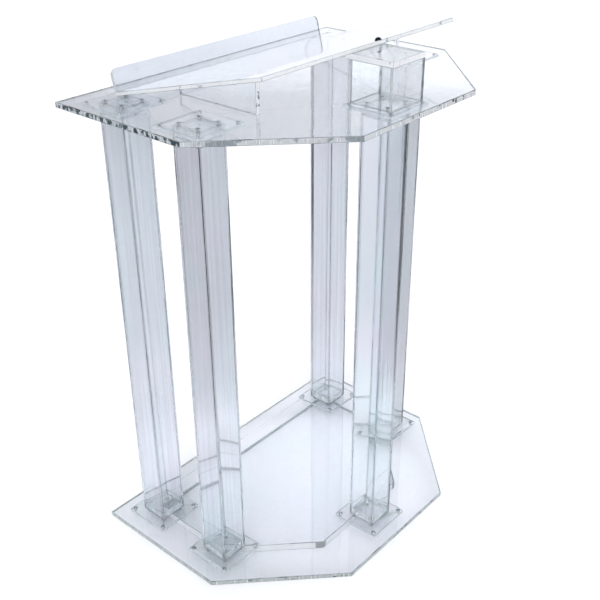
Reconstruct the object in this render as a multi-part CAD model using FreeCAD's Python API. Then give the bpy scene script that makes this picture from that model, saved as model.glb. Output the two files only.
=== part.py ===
import FreeCAD, Part
import math
import os

# Clear acrylic presentation lectern.
# Frame: +Z up, +Y towards the speaker, -Y towards the audience, X across the lectern.
# The origin is on the floor, under the middle of the plates.  All lengths are millimetres.

# ---- driving dimensions: the two big plates ----
PLATE_WIDTH = 830.0          # across X
PLATE_DEPTH = 584.0          # along Y, speaker's edge to audience edge
PLATE_THICK = 12.0
SIDE_EDGE = 358.0            # straight edge along Y at each side
FRONT_EDGE = 368.0           # straight edge along X facing the audience
PLATE_BEVEL = 0.8            # polished chamfer on the long edges

# ---- driving dimensions: plinth under the base plate ----
PLINTH_THICK = 20.0
PLINTH_INSET = 97.0          # how far its edges stand inside those of the base plate
PLINTH_SHIFT = 21.0          # it sits a little towards the speaker

# ---- driving dimensions: square tube columns ----
TUBE_SIDE = 70.0
TUBE_WALL = 4.0
TUBE_CORNER = 1.2            # small outer corner radius of the extruded tube
TUBE_LENGTH = 1026.0
COLUMN_X = 320.0             # the four outer columns stand at +-COLUMN_X
BACK_Y = 199.0
SIDE_Y = -14.0
FRONT_Y = -202.0

# ---- driving dimensions: flanges, locating plugs and their screws ----
FLANGE_SIDE = 120.0
FLANGE_THICK = 6.0
FLANGE_CORNER = 3.0
FLANGE_SCREW_AT = 51.0       # screw centres at +- this from the column's centre
PLUG_GAP = 0.3               # play between a plug and the inside of its tube
PLUG_HEIGHT = 18.0
PLUG_SCREW_AT = 25.5
SCREW_DIA = 6.0
HEAD_DIA = 11.0
HEAD_HEIGHT = 3.2
HEX_ACROSS = 4.0             # hexagon socket, across the flats
HEX_DEPTH = 1.9
FLANGE_SCREW_GRIP = 10.0     # how far a flange screw goes into its plate
PLUG_SCREW_GRIP = 14.0       # how far a plug screw goes into its plug
COUNTERSINK = 3.0            # depth of a countersunk head

# ---- driving dimensions: riser box on the shelf ----
RISER_SIDE = 103.0
RISER_WALL = 5.0
RISER_WALL_HEIGHT = 84.0
RISER_CAP_THICK = 12.0
CAP_OVERHANG = 10.5          # the cap stands out past the rear wall, under the board

# ---- driving dimensions: reading board, its lip and its supports ----
BOARD_TILT = 14.0            # degrees
BOARD_LOW_WIDTH = 626.0
BOARD_HIGH_WIDTH = 596.0
BOARD_LENGTH = 400.0         # along the slope
BOARD_THICK = 8.0
BOARD_LOW_Y = 232.0
BOARD_SEAT = 1.0             # the low edge is bevelled this much to sit flat on the shelf
LIP_HEIGHT = 45.0
LIP_THICK = 8.0
LIP_CORNER = 14.0
WEDGE_X = 219.0
WEDGE_THICK = 10.0
WEDGE_BACK_Y = 142.0
WEDGE_FRONT_Y = -69.0
BOLT_X = 44.0                # the one dark bolt that ties the board to the riser
BOLT_INSET = 8.0             # from the high edge, measured down the slope
BOLT_DIA = 8.0
BOLT_HEAD_DIA = 14.0
BOLT_HEAD_HEIGHT = 6.0

# ---- levels that follow from the sizes above ----
BASE_BOTTOM = PLINTH_THICK
BASE_TOP = BASE_BOTTOM + PLATE_THICK
TUBE_BOTTOM = BASE_TOP + FLANGE_THICK
TUBE_TOP = TUBE_BOTTOM + TUBE_LENGTH
SHELF_BOTTOM = TUBE_TOP + FLANGE_THICK
SHELF_TOP = SHELF_BOTTOM + PLATE_THICK
CAP_BOTTOM = SHELF_TOP + RISER_WALL_HEIGHT
CAP_TOP = CAP_BOTTOM + RISER_CAP_THICK

COLUMNS = {
    "back_left": (-COLUMN_X, BACK_Y),
    "back_right": (COLUMN_X, BACK_Y),
    "side_left": (-COLUMN_X, SIDE_Y),
    "side_right": (COLUMN_X, SIDE_Y),
    "front": (0.0, FRONT_Y),
}


def vec(x, y, z):
    return FreeCAD.Vector(x, y, z)


def save(name, shape):
    """Write one sub-part to its own STEP file."""
    shape.exportStep("parts/" + name + ".step")


def block(x_size, y_size, z_size, center_x, center_y, bottom):
    """A box given by its size, the middle of its footprint and its lowest level."""
    corner = vec(center_x - x_size / 2, center_y - y_size / 2, bottom)
    return Part.makeBox(x_size, y_size, z_size, corner)


def prism(points, direction):
    """A closed outline pushed along a direction."""
    outline = Part.makePolygon(points + [points[0]])
    return Part.Face(outline).extrude(direction)


def upright_edges(shape):
    """The edges of a shape that run straight along Z."""
    found = []
    for edge in shape.Edges:
        first = edge.Vertexes[0].Point
        last = edge.Vertexes[-1].Point
        if abs(first.x - last.x) < 1e-6 and abs(first.y - last.y) < 1e-6:
            found.append(edge)
    return found


def flat_edges(shape):
    """The edges of a shape that lie in level planes."""
    return [edge for edge in shape.Edges if abs(edge.BoundBox.ZLength) < 1e-6]


# ---- plates ----

def plate_outline(inset, shift, level):
    """The six corners of the plates' outline: a rectangle with its two front corners cut off.

    inset moves every edge inwards by the same distance, shift moves the outline along Y.
    """
    half_width = PLATE_WIDTH / 2 - inset
    back = PLATE_DEPTH / 2 - inset
    front = -PLATE_DEPTH / 2 + inset
    cut_x = (PLATE_WIDTH - FRONT_EDGE) / 2
    cut_y = PLATE_DEPTH - SIDE_EDGE
    cut_length = math.hypot(cut_x, cut_y)
    # where the slanted edges meet the sides and the front once they have moved inwards
    side_y = PLATE_DEPTH / 2 - SIDE_EDGE + inset * (cut_length - cut_y) / cut_x
    front_x = FRONT_EDGE / 2 - inset * (cut_length - cut_x) / cut_y
    corners = [
        (-half_width, back),
        (-half_width, side_y),
        (-front_x, front),
        (front_x, front),
        (half_width, side_y),
        (half_width, back),
    ]
    return [vec(x, y + shift, level) for x, y in corners]


def hexagon_plate(inset, shift, bottom, thickness):
    plate = prism(plate_outline(inset, shift, bottom), vec(0, 0, thickness))
    return plate.makeChamfer(PLATE_BEVEL, flat_edges(plate))


# ---- screws: each is made head up with its bearing face at the origin, then placed ----

def hex_socket(top):
    radius = HEX_ACROSS / math.sqrt(3)
    corners = []
    for step in range(6):
        turn = math.radians(60 * step)
        corners.append(vec(radius * math.cos(turn), radius * math.sin(turn), top - HEX_DEPTH))
    return prism(corners, vec(0, 0, HEX_DEPTH + 1))


def button_screw(length, shank_dia=SCREW_DIA, head_dia=HEAD_DIA, head_height=HEAD_HEIGHT):
    """A button head above z = 0 and a shank below it."""
    head_radius = head_dia / 2
    dome_radius = (head_radius ** 2 + head_height ** 2) / (2 * head_height)
    dome = Part.makeSphere(dome_radius, vec(0, 0, head_height - dome_radius))
    head = dome.common(Part.makeCylinder(head_radius, head_height))
    shank = Part.makeCylinder(shank_dia / 2, length, vec(0, 0, -length))
    screw = head.fuse(shank).removeSplitter()
    return screw.cut(hex_socket(head_height))


def countersunk_screw(length):
    """A flat head whose top is at z = 0, with the cone and the shank below it."""
    cone = Part.makeCone(SCREW_DIA / 2, HEAD_DIA / 2, COUNTERSINK, vec(0, 0, -COUNTERSINK))
    shank = Part.makeCylinder(SCREW_DIA / 2, length, vec(0, 0, -length))
    screw = cone.fuse(shank).removeSplitter()
    return screw.cut(hex_socket(0))


def countersunk_hole(length):
    """The space that a countersunk screw fills, without its hexagon socket."""
    cone = Part.makeCone(SCREW_DIA / 2, HEAD_DIA / 2, COUNTERSINK, vec(0, 0, -COUNTERSINK))
    shank = Part.makeCylinder(SCREW_DIA / 2, length, vec(0, 0, -length))
    return cone.fuse(shank)


def placed(shape, x, y, level, head_down=False):
    """A copy of an upright shape moved to a place, turned over when its head points down."""
    copy = shape.copy()
    if head_down:
        copy.rotate(vec(0, 0, 0), vec(1, 0, 0), 180)
    copy.translate(vec(x, y, level))
    return copy


def four_around(center, offset):
    """Four places at the corners of a square around a column."""
    signs = [(-1, -1), (1, -1), (1, 1), (-1, 1)]
    return [(center[0] + offset * sx, center[1] + offset * sy) for sx, sy in signs]


FLANGE_SCREW = button_screw(FLANGE_THICK + FLANGE_SCREW_GRIP)
FLANGE_SCREW_HOLE = Part.makeCylinder(
    SCREW_DIA / 2, FLANGE_THICK + FLANGE_SCREW_GRIP, vec(0, 0, -FLANGE_THICK - FLANGE_SCREW_GRIP))
PLUG_SCREW_LENGTH = PLATE_THICK + FLANGE_THICK + PLUG_SCREW_GRIP
PLUG_SCREW = countersunk_screw(PLUG_SCREW_LENGTH)
PLUG_SCREW_HOLE = countersunk_hole(PLUG_SCREW_LENGTH)


def base_holes(center):
    """The spaces of the eight screws at the foot of one column."""
    holes = [placed(FLANGE_SCREW_HOLE, x, y, TUBE_BOTTOM) for x, y in four_around(center, FLANGE_SCREW_AT)]
    for x, y in four_around(center, PLUG_SCREW_AT):
        holes.append(placed(PLUG_SCREW_HOLE, x, y, BASE_BOTTOM, head_down=True))
    return holes


def shelf_holes(center):
    """The spaces of the eight screws at the head of one column."""
    holes = []
    for x, y in four_around(center, FLANGE_SCREW_AT):
        holes.append(placed(FLANGE_SCREW_HOLE, x, y, TUBE_TOP, head_down=True))
    for x, y in four_around(center, PLUG_SCREW_AT):
        holes.append(placed(PLUG_SCREW_HOLE, x, y, SHELF_TOP))
    return holes


def big_plates():
    plinth = hexagon_plate(PLINTH_INSET, PLINTH_SHIFT, 0, PLINTH_THICK)
    save("base_plinth", plinth)

    base = hexagon_plate(0, 0, BASE_BOTTOM, PLATE_THICK)
    shelf = hexagon_plate(0, 0, SHELF_BOTTOM, PLATE_THICK)
    for center in COLUMNS.values():
        base = base.cut(base_holes(center))
        shelf = shelf.cut(shelf_holes(center))
    save("base_plate", base)
    save("shelf_plate", shelf)


# ---- columns, flanges and plugs ----

def square_tube(center):
    tube = block(TUBE_SIDE, TUBE_SIDE, TUBE_LENGTH, center[0], center[1], TUBE_BOTTOM)
    tube = tube.makeFillet(TUBE_CORNER, upright_edges(tube))
    inner_side = TUBE_SIDE - 2 * TUBE_WALL
    return tube.cut(block(inner_side, inner_side, TUBE_LENGTH, center[0], center[1], TUBE_BOTTOM))


def flange(center, bottom, holes):
    plate = block(FLANGE_SIDE, FLANGE_SIDE, FLANGE_THICK, center[0], center[1], bottom)
    plate = plate.makeFillet(FLANGE_CORNER, upright_edges(plate))
    return plate.cut(holes)


def plug(center, bottom, holes):
    side = TUBE_SIDE - 2 * TUBE_WALL - 2 * PLUG_GAP
    return block(side, side, PLUG_HEIGHT, center[0], center[1], bottom).cut(holes)


def column_parts():
    for name, center in COLUMNS.items():
        foot_holes = base_holes(center)
        head_holes = shelf_holes(center)
        save("column_" + name, square_tube(center))
        save("base_flange_" + name, flange(center, BASE_TOP, foot_holes))
        save("shelf_flange_" + name, flange(center, TUBE_TOP, head_holes))
        save("base_plug_" + name, plug(center, TUBE_BOTTOM, foot_holes))
        save("shelf_plug_" + name, plug(center, TUBE_TOP - PLUG_HEIGHT, head_holes))


def column_screws():
    """Four groups of identical screws, twenty solids each."""
    groups = {
        "base_flange_screws": (FLANGE_SCREW, FLANGE_SCREW_AT, TUBE_BOTTOM, False),
        "base_plug_screws": (PLUG_SCREW, PLUG_SCREW_AT, BASE_BOTTOM, True),
        "shelf_flange_screws": (FLANGE_SCREW, FLANGE_SCREW_AT, TUBE_TOP, True),
        "shelf_plug_screws": (PLUG_SCREW, PLUG_SCREW_AT, SHELF_TOP, False),
    }
    for name, (screw, offset, level, head_down) in groups.items():
        copies = []
        for center in COLUMNS.values():
            for x, y in four_around(center, offset):
                copies.append(placed(screw, x, y, level, head_down))
        save(name, Part.makeCompound(copies))


# ---- reading board: its frame starts at the low edge, on the underside ----

BOARD_ORIGIN = vec(0, BOARD_LOW_Y, SHELF_TOP - BOARD_SEAT)
UP_SLOPE = vec(0, -math.cos(math.radians(BOARD_TILT)), math.sin(math.radians(BOARD_TILT)))
NORMAL = vec(0, math.sin(math.radians(BOARD_TILT)), math.cos(math.radians(BOARD_TILT)))


def on_board(across, along, above):
    """A point given across the board, up its slope and above its underside."""
    return BOARD_ORIGIN + vec(across, 0, 0) + UP_SLOPE * along + NORMAL * above


def under_board(shape):
    """What is left of a shape below the plane of the board's underside."""
    reach = 1000.0
    corners = [on_board(-reach, -reach, 0), on_board(reach, -reach, 0),
               on_board(reach, reach, 0), on_board(-reach, reach, 0)]
    return shape.cut(prism(corners, NORMAL * reach))


BOLT_LENGTH = BOARD_THICK + RISER_CAP_THICK / 2
BOLT_PLACE = on_board(BOLT_X, BOARD_LENGTH - BOLT_INSET, BOARD_THICK)
BOLT_HOLE = Part.makeCylinder(BOLT_DIA / 2, BOLT_LENGTH, BOLT_PLACE, NORMAL * -1)


def reading_board():
    outline = [
        on_board(-BOARD_LOW_WIDTH / 2, 0, 0),
        on_board(BOARD_LOW_WIDTH / 2, 0, 0),
        on_board(BOARD_HIGH_WIDTH / 2, BOARD_LENGTH, 0),
        on_board(-BOARD_HIGH_WIDTH / 2, BOARD_LENGTH, 0),
    ]
    board = prism(outline, NORMAL * BOARD_THICK)
    below_shelf_top = block(PLATE_WIDTH, PLATE_DEPTH, PLATE_THICK, 0, 0, SHELF_BOTTOM)
    save("reading_board", board.cut(below_shelf_top).cut(BOLT_HOLE))


def book_lip():
    """A strip that stands square to the board on its low edge, with round top corners."""
    half = BOARD_LOW_WIDTH / 2
    foot = BOARD_THICK
    top = BOARD_THICK + LIP_HEIGHT
    corner_rise = LIP_CORNER * math.sin(math.radians(45))
    corner_in = LIP_CORNER - LIP_CORNER * math.cos(math.radians(45))
    left_start = on_board(-half, 0, top - LIP_CORNER)
    left_middle = on_board(-half + corner_in, 0, top - LIP_CORNER + corner_rise)
    left_end = on_board(-half + LIP_CORNER, 0, top)
    right_start = on_board(half - LIP_CORNER, 0, top)
    right_middle = on_board(half - corner_in, 0, top - LIP_CORNER + corner_rise)
    right_end = on_board(half, 0, top - LIP_CORNER)
    low_left = on_board(-half, 0, foot)
    low_right = on_board(half, 0, foot)
    outline = Part.Wire([
        Part.makeLine(low_left, left_start),
        Part.Arc(left_start, left_middle, left_end).toShape(),
        Part.makeLine(left_end, right_start),
        Part.Arc(right_start, right_middle, right_end).toShape(),
        Part.makeLine(right_end, low_right),
        Part.makeLine(low_right, low_left),
    ])
    # the board narrows towards its high edge, so the strip's ends are trimmed to match
    strip = Part.Face(outline).extrude(UP_SLOPE * LIP_THICK)
    taper = (BOARD_LOW_WIDTH - BOARD_HIGH_WIDTH) / 2 * LIP_THICK / BOARD_LENGTH
    footprint = [
        on_board(-half, 0, foot),
        on_board(half, 0, foot),
        on_board(half - taper, LIP_THICK, foot),
        on_board(-half + taper, LIP_THICK, foot),
    ]
    save("book_lip", strip.common(prism(footprint, NORMAL * LIP_HEIGHT)))


def board_bolt():
    bolt = button_screw(BOLT_LENGTH, BOLT_DIA, BOLT_HEAD_DIA, BOLT_HEAD_HEIGHT)
    bolt.Placement = FreeCAD.Placement(BOLT_PLACE, FreeCAD.Rotation(vec(0, 0, 1), NORMAL))
    save("board_bolt", bolt)


def wedge_supports():
    """Two upright plates whose sloped top edge carries the board."""
    tall = PLATE_DEPTH
    for name, side in (("wedge_support_left", -1), ("wedge_support_right", 1)):
        plate = block(WEDGE_THICK, WEDGE_BACK_Y - WEDGE_FRONT_Y, tall,
                      side * WEDGE_X, (WEDGE_BACK_Y + WEDGE_FRONT_Y) / 2, SHELF_TOP)
        save(name, under_board(plate))


def riser_box():
    """Four walls in a square on the shelf above the front column, and the cap on them."""
    wall_at = (RISER_SIDE - RISER_WALL) / 2
    between = RISER_SIDE - 2 * RISER_WALL
    walls = {
        "riser_wall_front": (RISER_SIDE, RISER_WALL, 0, FRONT_Y - wall_at),
        "riser_wall_rear": (RISER_SIDE, RISER_WALL, 0, FRONT_Y + wall_at),
        "riser_wall_left": (RISER_WALL, between, -wall_at, FRONT_Y),
        "riser_wall_right": (RISER_WALL, between, wall_at, FRONT_Y),
    }
    for name, (x_size, y_size, x, y) in walls.items():
        save(name, block(x_size, y_size, RISER_WALL_HEIGHT, x, y, SHELF_TOP))
    cap = block(RISER_SIDE, RISER_SIDE + CAP_OVERHANG, RISER_CAP_THICK,
                0, FRONT_Y + CAP_OVERHANG / 2, CAP_BOTTOM)
    save("riser_cap", under_board(cap).cut(BOLT_HOLE))


os.makedirs("parts", exist_ok=True)
big_plates()
column_parts()
column_screws()
reading_board()
book_lip()
board_bolt()
wedge_supports()
riser_box()
print("board's high edge, top surface", on_board(0, BOARD_LENGTH, BOARD_THICK))
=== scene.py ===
import math

import bmesh
import bpy
from mathutils import Matrix, Vector


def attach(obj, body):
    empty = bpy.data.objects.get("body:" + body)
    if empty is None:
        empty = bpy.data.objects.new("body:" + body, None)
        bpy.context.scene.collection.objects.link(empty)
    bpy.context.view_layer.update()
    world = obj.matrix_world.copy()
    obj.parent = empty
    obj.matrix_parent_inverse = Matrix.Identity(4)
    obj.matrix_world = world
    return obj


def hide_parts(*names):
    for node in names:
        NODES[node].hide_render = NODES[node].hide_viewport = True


# Clear acrylic lectern.  Metres, in the CAD frame: +Z up, +Y towards the speaker.
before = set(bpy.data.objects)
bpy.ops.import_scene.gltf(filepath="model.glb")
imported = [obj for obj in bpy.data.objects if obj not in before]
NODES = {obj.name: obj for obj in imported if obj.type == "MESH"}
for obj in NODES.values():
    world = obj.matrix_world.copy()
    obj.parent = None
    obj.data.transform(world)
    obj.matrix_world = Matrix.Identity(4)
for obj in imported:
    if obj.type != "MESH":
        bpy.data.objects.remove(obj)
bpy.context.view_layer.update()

# ---- sizes used for the looks ----
GAP = 0.00005                 # half of the air film left between two touching pieces
SHARP = math.radians(30)      # an edge that turns by more than this gets rounded
THIN = 0.0135                 # faces narrower than this are the cut edges of a sheet
HAIR = 0.0015                 # strips narrower than this belong to a rounded or broken edge
LONG_STRIP = 0.03             # and such a strip is longer than this
SQUARE_ON = 0.9               # a face looks along an axis when its normal has this much of it
SAME_SPOT = 2e-6              # corners closer than this are one corner
NEARLY_FLAT = math.radians(0.6)
NOISE_LOW = 0.28              # nearly all of a noise texture's values lie between these two
NOISE_HIGH = 0.72
NOISE_SPAN = NOISE_HIGH - NOISE_LOW
MIDDLE = (0.38, 0.62)         # the middle values of a noise: narrower gives clearer patches
MOST = (0.35, 0.65)
WIDE = (0.3, 0.7)
COLUMNS = ("back_left", "back_right", "side_left", "side_right", "front")
# places in a piece's material list; cut edges get theirs by which way they face, some lighter and
# some darker, as painted light and shade
FACE, ROUNDING, SIDE_CUT, CORNER_CUT, FRONT_CUT, FAR_CUT = range(6)


# ---------------------------------------------------------------- node helpers

class Nodes:
    """Small helper that adds nodes to a tree and links them."""

    def __init__(self, tree):
        self.tree = tree
        tree.nodes.clear()

    def add(self, kind, inputs=None, **settings):
        node = self.tree.nodes.new(kind)
        for name, value in settings.items():
            setattr(node, name, value)
        for name, value in (inputs or {}).items():
            socket = node.inputs[name]
            if isinstance(value, bpy.types.NodeSocket):
                self.tree.links.new(value, socket)
            else:
                socket.default_value = value
        return node

    def math(self, operation, first, second=0.0):
        node = self.add("ShaderNodeMath", {0: first, 1: second}, operation=operation)
        return node.outputs[0]

    def place(self, scale=(1.0, 1.0, 1.0)):
        """Positions on the object, stretched by scale along each axis."""
        coordinates = self.add("ShaderNodeTexCoord").outputs["Object"]
        mapping = self.add("ShaderNodeMapping", {"Vector": coordinates, "Scale": scale})
        return mapping.outputs["Vector"]

    def noise(self, vector, scale, detail=3.0, roughness=0.5):
        node = self.add("ShaderNodeTexNoise", {
            "Vector": vector, "Scale": scale, "Detail": detail, "Roughness": roughness})
        return node.outputs["Fac"]

    def remap(self, value, low, high, new_low, new_high):
        node = self.add("ShaderNodeMapRange", {
            "Value": value, "From Min": low, "From Max": high,
            "To Min": new_low, "To Max": new_high})
        return node.outputs["Result"]

    def blend(self, factor, first, second):
        node = self.add("ShaderNodeMix", data_type="RGBA")
        self.tree.links.new(factor, node.inputs[0])
        for socket, value in ((node.inputs[6], first), (node.inputs[7], second)):
            if isinstance(value, bpy.types.NodeSocket):
                self.tree.links.new(value, socket)
            else:
                socket.default_value = (*value, 1.0)
        return node.outputs[2]

    def scaled(self, color, factor):
        node = self.add("ShaderNodeVectorMath", {0: color, "Scale": factor}, operation="SCALE")
        return node.outputs["Vector"]

    def bump(self, height, strength, distance, normal=None):
        inputs = {"Height": height, "Strength": strength, "Distance": distance}
        if normal is not None:
            inputs["Normal"] = normal
        return self.add("ShaderNodeBump", inputs).outputs["Normal"]


def share_to_level(share):
    """The noise value below which about this share of a surface lies."""
    return NOISE_LOW + NOISE_SPAN * share


def new_material(name):
    material = bpy.data.materials.new(name)
    material.use_nodes = True
    return material, Nodes(material.node_tree)


# ---------------------------------------------------------------- acrylic

ACRYLIC_IOR = 1.49
DEPTH_TINT = (0.30, 0.62, 0.66)    # what long light paths keep
DEPTH_DENSITY = 1.4
# how many marks of each kind fit in about a metre
CLOUDS = 7.0
WIPES = 55.0
SAW_LINES = 260.0
LAYER_LINES = 330.0
STREAKS = 26.0
# heights of bumps, in metres
RIPPLE_HEIGHT = 0.002
SCRATCH_HEIGHT = 0.0003
SAW_HEIGHT = 0.0005
FACE_HAZE = 0.035             # roughness of the most wiped spots of a large face
LINE_SOFT = 0.004             # soft sides of a drawn line, as a share of the piece's width
HALF = 0.5                    # from a piece's middle to its side, as a share of its width


def finish_acrylic(nodes, surface):
    depth = nodes.add("ShaderNodeVolumeAbsorption", {
        "Color": (*DEPTH_TINT, 1.0), "Density": DEPTH_DENSITY})
    nodes.add("ShaderNodeOutputMaterial", {
        "Surface": surface.outputs[0], "Volume": depth.outputs[0]})


def from_middle(nodes):
    """Places from the piece's own middle along X and Y (half its size is 0.5), and its height."""
    spot = nodes.add("ShaderNodeTexCoord").outputs["Generated"]
    split = nodes.add("ShaderNodeSeparateXYZ", {0: spot})
    across, along = [nodes.math("SUBTRACT", split.outputs[axis], HALF) for axis in ("X", "Y")]
    return across, along, split.outputs["Z"]


def thin_line(nodes, value, start, width):
    """One where value lies between start and start + width, else zero, with soft sides."""
    rise = nodes.remap(value, start - LINE_SOFT, start, 0.0, 1.0)
    fall = nodes.remap(value, start + width, start + width + LINE_SOFT, 1.0, 0.0)
    return nodes.math("MULTIPLY", rise, fall)


def wall_shade(nodes, wall, top, foot, right, dim_left, dim_right):
    """Painted shade on a square tube's faces: darker bands where the next wall stands behind them.

    wall is the wall's thickness as a share of the tube's width.  The band is as wide as the
    wall and ends in a thin line, which comes and goes along the tube; band and line are painted
    shade for the walls behind, seen through the face.  The corners at (-X, +Y) and (+X, -Y),
    which stand at the tube's two sides for the studio camera, are painted darker, more so
    higher up: dim_left and dim_right say how much.  top and foot are how clear the tube is
    painted at its two ends, right how clear its +X wall is: painted shade and light.
    """
    across, along, height = from_middle(nodes)
    nearer = nodes.math("MINIMUM", nodes.math("ABSOLUTE", across), nodes.math("ABSOLUTE", along))
    inner = HALF - wall
    band_keeps = 0.93
    line_width = 0.010
    gloom_start, gloom_full = inner - 0.10, inner - 0.07
    gloom_low, gloom_high = 0.35, 0.6      # shares of the height between which it grows
    foot_end, top_start = 0.27, 0.42       # shares of the height between foot and top
    # painted shade: the two side corners darken, more so higher up
    left = nodes.math("MULTIPLY", nodes.math("LESS_THAN", across, 0.0),
                      nodes.math("GREATER_THAN", along, 0.0))
    far = nodes.math("MULTIPLY", nodes.math("GREATER_THAN", across, 0.0),
                     nodes.math("LESS_THAN", along, 0.0))
    corners = nodes.math("ADD", nodes.math("MULTIPLY", left, dim_left),
                         nodes.math("MULTIPLY", far, dim_right))
    higher = nodes.remap(height, gloom_low, gloom_high, 0.25, 1.0)
    gloom = nodes.math("MULTIPLY", nodes.remap(nearer, gloom_start, gloom_full, 0.0, 1.0),
                       nodes.math("MULTIPLY", corners, higher))
    # painted shade: the band and the thin line where the next wall stands behind
    edge = nodes.remap(nearer, inner - LINE_SOFT, inner + LINE_SOFT, 1.0, band_keeps)
    band = nodes.math("MULTIPLY", edge, nodes.math("SUBTRACT", 1.0, gloom))
    fade = nodes.noise(nodes.place((1.0, 1.0, 0.4)), 9.0, 2.0)
    weight = nodes.remap(fade, *MOST, 0.2, 0.65)
    drawn = thin_line(nodes, nearer, inner - line_width, line_width)
    line = nodes.math("MULTIPLY", drawn, weight)
    # painted shade and light: clearer or darker with height and on the +X wall
    clear = nodes.math("MULTIPLY", nodes.remap(height, foot_end, top_start, foot, top),
                       nodes.remap(across, inner - 2.0 * LINE_SOFT, inner - LINE_SOFT, 1.0, right))
    marked = nodes.math("MULTIPLY", band, nodes.math("SUBTRACT", 1.0, line))
    return nodes.math("MULTIPLY", marked, clear)


def seat_shade(nodes, inner, outer, on_top, weight):
    """The square ring where a tube's end sits on a flange, with a dark line along its inside:
    partly the joint's own mark, partly painted shade for the tube's walls seen through the flange.
    """
    across, along, height = from_middle(nodes)
    ring = nodes.math("MAXIMUM", nodes.math("ABSOLUTE", across), nodes.math("ABSOLUTE", along))
    early = 0.003                 # the lines start this much inside the tube's two faces
    line_width, rim_width = 0.018, 0.010
    rim_weight, inside_weight = 0.6 * weight, 0.1 * weight
    line = nodes.math("MULTIPLY", thin_line(nodes, ring, inner - early, line_width), weight)
    rim = nodes.math("MULTIPLY", thin_line(nodes, ring, outer - early, rim_width), rim_weight)
    inside = nodes.remap(ring, inner - LINE_SOFT, inner, inside_weight, 0.0)
    marks = nodes.math("ADD", nodes.math("ADD", line, rim), inside)
    side = nodes.math("GREATER_THAN" if on_top else "LESS_THAN", height, HALF)
    return nodes.math("SUBTRACT", 1.0, nodes.math("MULTIPLY", marks, side))


def joint_shade(nodes, width):
    """A dark broken line down the +X end of a wall, where the next wall is cemented to it: painted
    shade along the joint.
    """
    across = from_middle(nodes)[0]
    dashes = nodes.noise(nodes.place(), 90.0, 2.0)
    weight = nodes.remap(dashes, 0.42, 0.54, 0.9, 0.4)
    mark = nodes.remap(across, HALF - width - 0.01, HALF - width, 0.0, 1.0)
    return nodes.math("SUBTRACT", 1.0, nodes.math("MULTIPLY", mark, weight))


def corner_shade(nodes, corner_x, width):
    """Painted shade: a dark block on the cut edge at the two front corners, corner_x from the
    piece's middle.
    """
    across, along = from_middle(nodes)[:2]
    start = corner_x - 0.4 * width     # a little more of it lies on the slanted edge
    front_part = -0.4                  # the back corners lie behind this
    darkness = 0.62
    turned = thin_line(nodes, nodes.math("ABSOLUTE", across), start, width)
    mark = nodes.math("MULTIPLY", turned, nodes.math("LESS_THAN", along, front_part))
    return nodes.math("SUBTRACT", 1.0, nodes.math("MULTIPLY", mark, darkness))


def clear_face(name, first, second, drawn, fine, streak=0.95, shade=None):
    """The large polished faces: two near-clear tones that drift into each other and fine lines.

    drawn is the stretch of the fine lines (small along the way the piece was drawn or rolled)
    and streak is what the darkest of them keeps; shade adds marks of its own.
    """
    material, nodes = new_material(name)
    cloud = nodes.noise(nodes.place((1.0, 1.0, 0.7)), CLOUDS, 2.0)
    lines = nodes.noise(nodes.place(drawn), fine, 3.0, 0.55)
    wipe = nodes.noise(nodes.place(drawn), WIPES, 4.0, 0.6)
    tone = nodes.blend(nodes.remap(cloud, *MIDDLE, 0.0, 1.0), first, second)
    level = nodes.remap(lines, *MIDDLE, streak, 1.0)
    if shade:
        level = nodes.math("MULTIPLY", level, shade(nodes))
    color = nodes.scaled(tone, level)
    rough = nodes.remap(wipe, 0.35, 0.75, 0.0, FACE_HAZE)
    ripple = nodes.bump(cloud, 0.25, RIPPLE_HEIGHT)
    scratched = nodes.bump(lines, 0.12, SCRATCH_HEIGHT, ripple)
    surface = nodes.add("ShaderNodeBsdfPrincipled", {
        "Base Color": color, "Roughness": rough, "IOR": ACRYLIC_IOR,
        "Transmission Weight": 1.0, "Normal": scratched})
    finish_acrylic(nodes, surface)
    return material


def mostly(nodes, main, other):
    """Four parts of main and one of other."""
    return nodes.math("ADD", nodes.math("MULTIPLY", main, 0.8), nodes.math("MULTIPLY", other, 0.2))


def cut_edge(name, light, dark, share, blocks, through=0.4, frost=0.23):
    """The narrow faces of a sheet: cut, then flame polished.

    Fine lines stay across the thickness, and painted light and dark patches stand in for the
    many reflections inside; share is how much of it goes dark, blocks how many patches fit in a
    metre, through how much light it lets pass and frost how matt it is.
    """
    material, nodes = new_material(name)
    saw = nodes.noise(nodes.place((1.0, 1.0, 0.06)), SAW_LINES, 3.0, 0.6)
    patches = nodes.noise(nodes.place((1.0, 1.0, 0.8)), blocks, 2.0, 0.6)
    specks = nodes.noise(nodes.place(), 5.0 * blocks, 2.0)
    mixed = mostly(nodes, patches, specks)
    edge = share_to_level(share)
    soft = nodes.blend(nodes.remap(specks, *MOST, 0.0, 1.0),
                       tuple(0.88 * channel for channel in light), light)
    color = nodes.blend(nodes.remap(mixed, edge - 0.025, edge + 0.025, 0.0, 1.0), dark, soft)
    rough = nodes.remap(saw, *WIDE, 0.6 * frost, 1.4 * frost)
    lined = nodes.bump(saw, 0.4, SAW_HEIGHT)
    surface = nodes.add("ShaderNodeBsdfPrincipled", {
        "Base Color": color, "Roughness": rough, "IOR": ACRYLIC_IOR,
        "Transmission Weight": through, "Normal": lined})
    finish_acrylic(nodes, surface)
    return material


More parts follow.
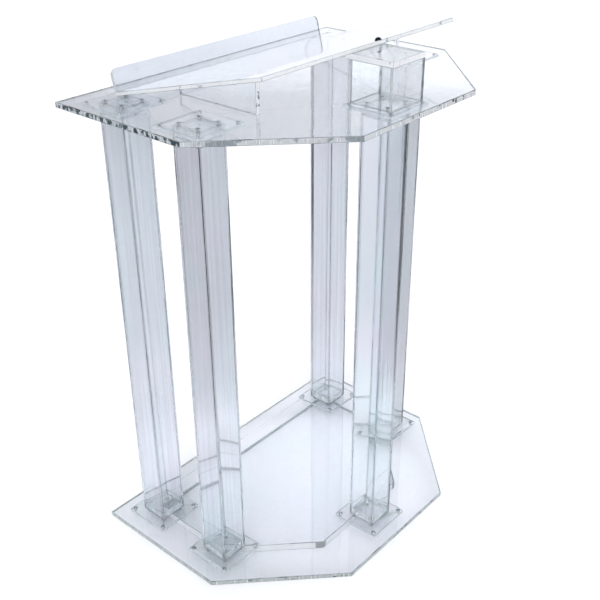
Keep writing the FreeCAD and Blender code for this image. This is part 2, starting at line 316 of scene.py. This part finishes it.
def layered_edge(name, light, dark, corner_x, width):
    """The thick sheet's edge: bright, with thin lines that run round it and painted dark shade at
    its front corners.
    """
    material, nodes = new_material(name)
    layers = nodes.noise(nodes.place((0.02, 0.02, 1.0)), LAYER_LINES, 2.0)
    cloud = nodes.noise(nodes.place(), 14.0, 2.0)
    mixed = mostly(nodes, layers, cloud)
    lined = nodes.blend(nodes.remap(mixed, 0.34, 0.42, 0.0, 1.0), dark, light)
    color = nodes.scaled(lined, corner_shade(nodes, corner_x, width))
    surface = nodes.add("ShaderNodeBsdfPrincipled", {
        "Base Color": color, "Roughness": nodes.remap(cloud, *WIDE, 0.3, 0.5),
        "IOR": ACRYLIC_IOR, "Transmission Weight": 0.2,
        "Normal": nodes.bump(layers, 0.3, SAW_HEIGHT)})
    finish_acrylic(nodes, surface)
    return material


def rounded_edge(name, tint, share, run=1.0, climb=0.0):
    """The broken corner between two faces, with painted reflections: dark and bright streaks in
    turn.

    share is how much of it goes dark, and climb how much that grows from the floor to one
    metre up; a small run stretches the streaks upwards.
    """
    material, nodes = new_material(name)
    streaks = nodes.noise(nodes.place((1.0, 1.0, run)), STREAKS, 3.0, 0.6)
    height = nodes.add("ShaderNodeSeparateXYZ", {0: nodes.place()}).outputs["Z"]
    edge = share_to_level(share)
    rise = nodes.math("MULTIPLY", height, NOISE_SPAN * climb)
    above = nodes.math("SUBTRACT", streaks, rise)
    darker = tuple(channel * 0.05 for channel in tint)
    color = nodes.blend(nodes.remap(above, edge - 0.06, edge + 0.06, 0.0, 1.0), darker, tint)
    rough = nodes.remap(streaks, *WIDE, 0.05, 0.2)
    surface = nodes.add("ShaderNodeBsdfPrincipled", {
        "Base Color": color, "Roughness": rough, "IOR": ACRYLIC_IOR,
        "Transmission Weight": 0.7})
    finish_acrylic(nodes, surface)
    return material


def steel(name, dark, light):
    material, nodes = new_material(name)
    here = nodes.place()
    grain = nodes.noise(here, 900.0, 3.0, 0.6)
    stain = nodes.noise(here, 40.0, 2.0)
    color = nodes.blend(nodes.remap(stain, 0.35, 0.7, 0.0, 1.0), dark, light)
    rough = nodes.remap(grain, *WIDE, 0.18, 0.38)
    marks = nodes.bump(grain, 0.2, 0.0001)
    surface = nodes.add("ShaderNodeBsdfPrincipled", {
        "Base Color": color, "Metallic": 1.0, "Roughness": rough, "Normal": marks})
    nodes.add("ShaderNodeOutputMaterial", {"Surface": surface.outputs[0]})
    return material


WHITE = (0.95, 0.96, 0.97)
PALE = (0.86, 0.90, 0.92)
SILVER = (0.70, 0.72, 0.76)
GREEN_GREY = (0.74, 0.79, 0.77)
MID_GREY = (0.40, 0.44, 0.46)
INK = (0.02, 0.05, 0.06)
CORNER = (0.86, 0.90, 0.93)
EVEN = (1.0, 1.0, 1.0)
DRAWN_UP = (1.0, 1.0, 0.012)
TUBE_WALL = 4.0 / 70.0        # wall over width
SEAT_INNER = 31.0 / 120.0     # half the tube's inside and outside over the flange's width
SEAT_OUTER = 35.0 / 120.0
PLINTH_CORNER = 144.4 / 636.0 # front corner's X over the plinth's width

short_rounding = rounded_edge("short_rounding", CORNER, 0.3)
lip_rounding = rounded_edge("lip_rounding", (0.72, 0.77, 0.82), 0.3)
white_cut = cut_edge("white_cut_edge", (0.98, 0.98, 0.98), MID_GREY, 0.17, 45.0, 0.15, 0.4)
wedge_cut = cut_edge("wedge_cut_edge", (0.98, 0.98, 0.98), INK, 0.32, 55.0, 0.15, 0.4)
plug_cut = cut_edge("plug_cut_edge", (0.99, 0.99, 0.995), PALE, 0.2, 60.0, 0.8, 0.2)
frosted_cut = cut_edge("frosted_cut_edge", PALE, SILVER, 0.35, 80.0, 0.6, 0.4)
base_cut = cut_edge("base_cut_edge", GREEN_GREY, INK, 0.25, 80.0)
plinth_cut = layered_edge("plinth_cut_edge", (0.98, 0.98, 0.99), (0.70, 0.74, 0.77),
                          PLINTH_CORNER, 0.032)
lip_cut = cut_edge("lip_cut_edge", WHITE, SILVER, 0.2, 90.0, 0.5, 0.5)
riser_cut = cut_edge("riser_cut_edge", (0.92, 0.93, 0.95), SILVER, 0.25, 70.0)
# darker copy for the riser's cut edges that face +X: painted shade
riser_far_cut = cut_edge("riser_far_cut_edge", (0.32, 0.34, 0.37), INK, 0.45, 60.0)
pale_rounding = rounded_edge("pale_rounding", WHITE, 0.08)
# darker copy for the lip's cut edges that face +X: painted shade
lip_far_cut = cut_edge("lip_far_cut_edge", PALE, INK, 0.42, 60.0, 0.4, 0.4)
cap_cut = cut_edge("cap_cut_edge", (0.98, 0.98, 0.98), MID_GREY, 0.2, 70.0, 0.15, 0.4)


def look(name, first, second, rounding, side, corner, front, far=None, **face):
    """The six materials of one piece, in the order of the list places above."""
    settings = {"drawn": EVEN, "fine": 90.0, **face}
    large = clear_face(name + "_face", first, second, **settings)
    return large, rounding, side, corner, front, far or side


def flange_look(name, on_top, weight):
    """A flange; on_top says on which side the tube sits, weight how dark its painted seat shade
    is.
    """
    return look(name, (0.985, 0.98, 0.995), (0.97, 0.985, 0.99), flange_rounding,
                frosted_cut, frosted_cut, frosted_cut,
                shade=lambda nodes: seat_shade(nodes, SEAT_INNER, SEAT_OUTER, on_top, weight))


def tube_look(name, rounding, top, foot, right=1.0, dim_left=0.1, dim_right=0.0, streak=0.91):
    """A column's tube.  How clear each one is was set by trial, for the studio camera's view; this
    clearness is painted shade and light.
    """
    return look(name, (0.965, 0.96, 0.99), (0.938, 0.972, 0.988), rounding,
                frosted_cut, tube_end_cut, frosted_cut, drawn=DRAWN_UP, fine=170.0, streak=streak,
                shade=lambda nodes: wall_shade(nodes, TUBE_WALL, top, foot, right,
                                               dim_left, dim_right))


flange_rounding = rounded_edge("flange_rounding", CORNER, 0.45)
# darker streaks for the left side tube, more so higher up: painted reflections
dark_rounding = rounded_edge("dark_tube_rounding", (0.8, 0.84, 0.87), 0.15, 0.12, 0.95)
soft_rounding = rounded_edge("soft_tube_rounding", (0.84, 0.87, 0.9), 0.08, 0.12, 0.25)
# the tube ends: darker all over, painted shade
tube_end_cut = cut_edge("tube_end_cut", (0.45, 0.46, 0.50), MID_GREY, 0.4, 80.0)

LOOKS = {
    "base": look("base", (0.996, 0.99, 1.0), (0.985, 0.992, 0.995), short_rounding,
                 base_cut, base_cut, base_cut, streak=0.975),
    "plinth": look("plinth", (1.0, 0.996, 1.0), (0.99, 0.996, 0.998), short_rounding,
                   plinth_cut, plinth_cut, plinth_cut, streak=0.985),
    "shelf": look("shelf", (0.965, 0.97, 1.0), (0.94, 0.968, 0.998), short_rounding,
                  # the shelf's cut edges, darker at the sides and lighter at the corners by which
                  # way they face: painted shade and light
                  cut_edge("shelf_side_cut", PALE, INK, 0.5, 92.0),
                  cut_edge("shelf_corner_cut", WHITE, MID_GREY, 0.5, 22.0),
                  cut_edge("shelf_front_cut", (0.98, 0.98, 0.98), INK, 0.36, 60.0)),
    "back_left": tube_look("tube_back_left", soft_rounding, 1.0, 1.0),
    "back_right": tube_look("tube_back_right", soft_rounding, 1.0, 1.0,
                            dim_left=0.7, dim_right=0.15),
    "side_left": tube_look("tube_side_left", dark_rounding, 0.89, 1.02, 1.1),
    "side_right": tube_look("tube_side_right", soft_rounding, 1.04, 1.03, 0.66, streak=0.97),
    "front": tube_look("tube_front", soft_rounding, 1.03, 1.045, dim_left=0.15, dim_right=0.75,
                       streak=0.98),
    "base_flange": flange_look("base_flange", True, 0.25),
    "shelf_flange": flange_look("shelf_flange", False, 0.85),
    "plug": look("plug", (0.998, 0.993, 1.0), (0.99, 0.996, 1.0),
                 rounded_edge("plug_rounding", WHITE, 0.02), plug_cut, plug_cut, plug_cut),
    "board": look("board", (0.998, 0.996, 1.0), (0.99, 0.995, 0.998), short_rounding,
                  white_cut, white_cut, white_cut),
    "lip": look("lip", (0.80, 0.82, 0.865), (0.78, 0.82, 0.845), lip_rounding,
                lip_cut, lip_cut, lip_cut, lip_far_cut),
    "riser": look("riser", (1.0, 0.998, 1.0), (0.995, 0.998, 1.0), pale_rounding,
                  riser_cut, riser_cut, riser_cut, riser_far_cut),
    # the right wall's cut edges that face front get the dark far-edge copy: painted shade
    "riser_joint": look("riser_joint", (1.0, 0.998, 1.0), (0.995, 0.998, 1.0), pale_rounding,
                        riser_cut, riser_cut, riser_far_cut, riser_far_cut),
    "riser_rear": look("riser_rear", (1.0, 0.998, 1.0), (0.995, 0.998, 1.0), pale_rounding,
                       riser_cut, riser_cut, riser_cut, riser_far_cut,
                       shade=lambda nodes: joint_shade(nodes, 0.07)),
    "cap": look("cap", (0.985, 0.985, 1.0), (0.975, 0.985, 0.99), short_rounding,
                cap_cut, cap_cut, cap_cut),
    "wedge": look("wedge", (0.985, 0.985, 1.0), (0.965, 0.98, 0.985), pale_rounding,
                  wedge_cut, wedge_cut, wedge_cut),
}


# ---------------------------------------------------------------- pieces

def is_long_sharp(edge, shortest, inside):
    """Sharp outer edges longer than shortest; inside lets the inner corners of a tube in too."""
    if len(edge.link_faces) != 2 or not edge.is_manifold:
        return False
    if edge.calc_face_angle(0.0) < SHARP or edge.calc_length() < shortest:
        return False
    return inside or edge.is_convex


def material_place(face, biggest, thin):
    """Rounding, cut edge or face, by how wide the face is and which way it looks."""
    width = 2.0 * face.calc_area() / sum(edge.calc_length() for edge in face.edges)
    if width < HAIR and max(edge.calc_length() for edge in face.edges) > LONG_STRIP:
        return ROUNDING
    if width > thin or face.calc_area() > 0.5 * biggest:
        return FACE
    if abs(face.normal.x) > SQUARE_ON:
        return FAR_CUT if face.normal.x > 0.0 else SIDE_CUT
    return FRONT_CUT if abs(face.normal.y) > SQUARE_ON else CORNER_CUT


def polished_copy(name, kind, width, shortest=0.006, thin=THIN, inside=False):
    """A copy of a CAD node with its edges rounded, drawn in by GAP so that it touches nothing."""
    source = NODES[name]
    mesh = bpy.data.meshes.new(name + "_polished")
    work = bmesh.new()
    work.from_mesh(source.data)
    bmesh.ops.remove_doubles(work, verts=work.verts, dist=SAME_SPOT)
    bmesh.ops.dissolve_limit(work, angle_limit=NEARLY_FLAT, verts=work.verts,
                             edges=work.edges, use_dissolve_boundaries=False)
    work.normal_update()
    weights = work.edges.layers.float.new("bevel_weight_edge")
    for edge in work.edges:
        rounded = is_long_sharp(edge, shortest, inside)
        outer = 0.5 if inside and edge.is_convex else 1.0
        edge[weights] = outer if rounded else 0.0
        edge.smooth = edge.calc_face_angle(0.0) < SHARP
    biggest = max(face.calc_area() for face in work.faces)
    for face in work.faces:
        face.smooth = True
        face.material_index = material_place(face, biggest, thin)
    moves = [(vert, vert.normal * (-GAP * vert.calc_shell_factor())) for vert in work.verts]
    for vert, move in moves:
        vert.co += move
    work.to_mesh(mesh)
    work.free()
    piece = bpy.data.objects.new(name + "_polished", mesh)
    bpy.context.scene.collection.objects.link(piece)
    for material in LOOKS[kind]:
        mesh.materials.append(material)
    bevel = piece.modifiers.new("rounded_edges", "BEVEL")
    bevel.limit_method = "WEIGHT"
    bevel.width = width
    bevel.segments = 3
    bevel.profile = 0.6
    bevel.use_clamp_overlap = True
    bevel.harden_normals = True
    bevel.material = ROUNDING
    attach(piece, "root")
    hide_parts(name)
    return piece


PLINTH_THIN = 0.021           # the plinth's and the plugs' cut edges are wider
PLUG_THIN = 0.016
PLATE_ROUND = 0.0007          # how far the edges of each kind of piece are rounded off
TUBE_ROUND = 0.0012
FLANGE_ROUND = 0.0005
BOARD_ROUND = 0.0008
SUPPORT_ROUND = 0.0006

polished_copy("base_plinth", "plinth", PLATE_ROUND, thin=PLINTH_THIN)
polished_copy("base_plate", "base", PLATE_ROUND)
polished_copy("shelf_plate", "shelf", PLATE_ROUND)
for where in COLUMNS:
    polished_copy("column_" + where, where, TUBE_ROUND, inside=True)
    for level in ("base", "shelf"):
        polished_copy(level + "_flange_" + where, level + "_flange",
                      FLANGE_ROUND)
        polished_copy(level + "_plug_" + where, "plug", FLANGE_ROUND,
                      thin=PLUG_THIN)
polished_copy("reading_board", "board", BOARD_ROUND)
polished_copy("book_lip", "lip", BOARD_ROUND)
for side in ("left", "right"):
    polished_copy("wedge_support_" + side, "wedge", SUPPORT_ROUND)
for side, kind in (("left", "riser"), ("right", "riser_joint"), ("front", "riser"),
                   ("rear", "riser_rear")):
    polished_copy("riser_wall_" + side, kind, SUPPORT_ROUND)
polished_copy("riser_cap", "cap", SUPPORT_ROUND)

screw_steel = steel("screw_steel_turned", (0.22, 0.25, 0.27), (0.5, 0.53, 0.55))
# a lighter copy of the screw steel, for the base plug screws only: painted light
lit_plug_screw_steel = steel("lit_plug_screw_steel", (0.5, 0.52, 0.54), (0.75, 0.77, 0.79))
bolt_black = steel("bolt_black_oxide", (0.012, 0.014, 0.02), (0.04, 0.045, 0.055))
for name, finish in (("base_flange_screws", screw_steel), ("base_plug_screws", lit_plug_screw_steel),
                     ("shelf_flange_screws", screw_steel), ("shelf_plug_screws", screw_steel),
                     ("board_bolt", bolt_black)):
    for holder in NODES[name].material_slots:
        holder.material = finish


# ---------------------------------------------------------------- stage

def plane(name, half, level):
    mesh = bpy.data.meshes.new(name)
    outline = ((-half, -half), (half, -half), (half, half), (-half, half))
    corners = [(x, y, level) for x, y in outline]
    mesh.from_pydata(corners, [], [(0, 1, 2, 3)])
    obj = bpy.data.objects.new(name, mesh)
    bpy.context.scene.collection.objects.link(obj)
    return obj


def paper(name, light, dark):
    material, nodes = new_material(name)
    mottle = nodes.noise(nodes.place(), 3.0, 3.0)
    color = nodes.blend(nodes.remap(mottle, *MOST, 0.0, 1.0), dark, light)
    surface = nodes.add("ShaderNodeBsdfDiffuse", {"Color": color})
    nodes.add("ShaderNodeOutputMaterial", {"Surface": surface.outputs[0]})
    return material


def graded_paper(name, rings, near_lean, far_lean):
    """Paper with painted light and shade: its grey changes with the distance from the lectern and
    from one side to the other.

    rings is a list of (distance, grey).  A lean is (floor direction, place on it, other place,
    level at the first, level at the other): one holds near the lectern, one far from it.
    """
    material, nodes = new_material(name)
    here = nodes.place((1.0, 1.0, 0.0))
    away = nodes.add("ShaderNodeVectorMath", {0: here}, operation="LENGTH").outputs["Value"]
    reach = rings[-1][0]
    ramp = nodes.add("ShaderNodeValToRGB", {"Fac": nodes.math("DIVIDE", away, reach)})
    stops = ramp.color_ramp.elements       # a new ramp already has two
    for number, (distance, grey) in enumerate(rings):
        stop = stops[number] if number < 2 else stops.new(distance / reach)
        stop.position = distance / reach
        stop.color = (grey, grey * 1.012, grey * 1.06, 1.0)
    plain, beyond = (1.0, 1.0, 1.0), (1.04, 1.04, 1.04)
    shades = []
    for direction, low, high, low_level, high_level in (near_lean, far_lean):
        along = nodes.add("ShaderNodeVectorMath", {0: here, 1: direction}, operation="DOT_PRODUCT")
        shades.append(nodes.remap(along.outputs["Value"], low, high, low_level, high_level))
    level = nodes.blend(nodes.remap(away, 0.4, 0.6, 0.0, 1.0), shades[0], plain)
    level = nodes.blend(nodes.remap(away, 1.6, 2.8, 0.0, 1.0), level, shades[1])
    level = nodes.blend(nodes.remap(away, 4.8, 7.0, 0.0, 1.0), level, beyond)
    color = nodes.add("ShaderNodeVectorMath", {0: ramp.outputs["Color"], 1: level},
                      operation="MULTIPLY")
    surface = nodes.add("ShaderNodeBsdfDiffuse", {"Color": color.outputs["Vector"]})
    nodes.add("ShaderNodeOutputMaterial", {"Surface": surface.outputs[0]})
    return material


STAGE_HALF = 40.0             # half the side of the floor
FLOOR_LEVEL = -0.0002
CARD_LEVEL = -0.0004
DOME_RADIUS = 60.0

# painted light and shade on the card: its greys by distance from the lectern, and the floor
# directions in which it brightens
CARD_RINGS = ((0.0, 0.95), (0.2, 0.90), (0.27, 0.88), (0.33, 0.75), (0.42, 0.88), (0.6, 0.80),
              (1.0, 0.67), (2.2, 0.66), (2.7, 0.55), (3.5, 0.55), (4.1, 0.95), (6.0, 0.95))
NEAR_LEAN = ((0.93, 0.37, 0.0), -0.27, 0.2, 0.91, 1.07)
FAR_LEAN = ((0.658, -0.753, 0.0), -0.7, 0.9, 0.86, 1.18)

floor = plane("studio_floor", STAGE_HALF, FLOOR_LEVEL)
floor.data.materials.append(paper("white_paper", (0.96, 0.96, 0.96), (0.95, 0.95, 0.95)))
floor.visible_diffuse = False
floor.visible_glossy = False
floor.visible_transmission = False
floor.visible_shadow = False
card = plane("grey_card", STAGE_HALF, CARD_LEVEL)
card.data.materials.append(graded_paper(
    "cool_grey_card", CARD_RINGS, NEAR_LEAN, FAR_LEAN))
card.visible_camera = False


ROOM_LEVEL = 0.36
LIGHT_STRENGTH = 0.99
LIGHT_TINT = (0.99, 1.0, 1.03)
# soft boxes: azimuth from +X and elevation where they stand, half angle, soft rim, brightness
SOFT_BOXES = (
    (0.0, 90.0, 24.0, 14.0, 1.3),
    (18.0, 18.0, 16.0, 25.0, 0.55),
    (70.0, 16.0, 30.0, 16.0, 0.2),
    (221.0, 40.0, 18.0, 8.0, 2.8),
    (135.0, 22.0, 14.0, 4.0, 1.3),
    (315.0, 22.0, 14.0, 4.0, 1.3),
    (95.0, 38.0, 8.0, 3.0, 1.2),
    (350.0, 40.0, 8.0, 3.0, 1.2),
    (265.0, 12.0, 12.0, 4.0, 1.0),
    (178.0, 12.0, 10.0, 4.0, 1.0),
)


def studio_world():
    """A grey room with soft boxes round and above the lectern."""
    world = bpy.data.worlds.new("soft_studio")
    bpy.context.scene.world = world
    world.use_nodes = True
    nodes = Nodes(world.node_tree)
    direction = nodes.add("ShaderNodeTexCoord").outputs["Generated"]
    total = nodes.add("ShaderNodeValue").outputs[0]
    total.default_value = ROOM_LEVEL
    for azimuth, elevation, half, rim, level in SOFT_BOXES:
        turn, rise = math.radians(azimuth), math.radians(elevation)
        aim = (math.cos(turn) * math.cos(rise), math.sin(turn) * math.cos(rise), math.sin(rise))
        toward = nodes.add("ShaderNodeVectorMath", {0: direction, 1: aim}, operation="DOT_PRODUCT")
        lit = nodes.add("ShaderNodeMapRange", {
            "Value": toward.outputs["Value"], "From Min": math.cos(math.radians(half + rim)),
            "From Max": math.cos(math.radians(half)), "To Min": 0.0, "To Max": level},
            interpolation_type="SMOOTHSTEP")
        total = nodes.math("ADD", total, lit.outputs["Result"])
    tone = nodes.scaled(LIGHT_TINT, total)
    background = nodes.add("ShaderNodeBackground", {
        "Color": tone, "Strength": LIGHT_STRENGTH})
    nodes.add("ShaderNodeOutputWorld", {"Surface": background.outputs[0]})


def backdrop():
    """A far white dome that only the camera sees."""
    mesh = bpy.data.meshes.new("white_dome")
    work = bmesh.new()
    bmesh.ops.create_uvsphere(work, u_segments=48, v_segments=24, radius=DOME_RADIUS)
    work.to_mesh(mesh)
    work.free()
    dome = bpy.data.objects.new("white_dome", mesh)
    bpy.context.scene.collection.objects.link(dome)
    material, nodes = new_material("white_backdrop")
    glow = nodes.add("ShaderNodeEmission", {"Color": (1.0, 1.0, 1.0, 1.0), "Strength": 1.0})
    nodes.add("ShaderNodeOutputMaterial", {"Surface": glow.outputs[0]})
    mesh.materials.append(material)
    dome.visible_diffuse = False
    dome.visible_glossy = False
    dome.visible_transmission = False
    dome.visible_shadow = False


studio_world()
backdrop()

# ---------------------------------------------------------------- camera

CAMERA_PLACE = Vector((-1.43106, -1.23478, 1.62307))
CAMERA_RIGHT = Vector((0.65755785, -0.75337954, -0.00607741))
CAMERA_UP = Vector((0.37062135, 0.31643823, 0.87321628))
CAMERA_LENS = 55.60
FILM_WIDTH = 36.0
LIGHT_BOUNCES = 32            # enough to get through all the sheets that stand in line

camera_data = bpy.data.cameras.new("studio_camera")
camera_data.lens = CAMERA_LENS
camera_data.sensor_width = FILM_WIDTH
camera_data.clip_end = 200.0
camera = bpy.data.objects.new("studio_camera", camera_data)
bpy.context.scene.collection.objects.link(camera)
turn = Matrix((CAMERA_RIGHT, CAMERA_UP, CAMERA_RIGHT.cross(CAMERA_UP))).transposed()
camera.matrix_world = Matrix.Translation(CAMERA_PLACE) @ turn.to_4x4()
bpy.context.scene.camera = camera

scene = bpy.context.scene
scene.view_settings.view_transform = "Standard"
scene.view_settings.look = "None"
scene.cycles.max_bounces = LIGHT_BOUNCES
scene.cycles.transmission_bounces = LIGHT_BOUNCES
scene.cycles.glossy_bounces = LIGHT_BOUNCES
scene.cycles.transparent_max_bounces = LIGHT_BOUNCES
scene.cycles.diffuse_bounces = 4
scene.cycles.blur_glossy = 0.0
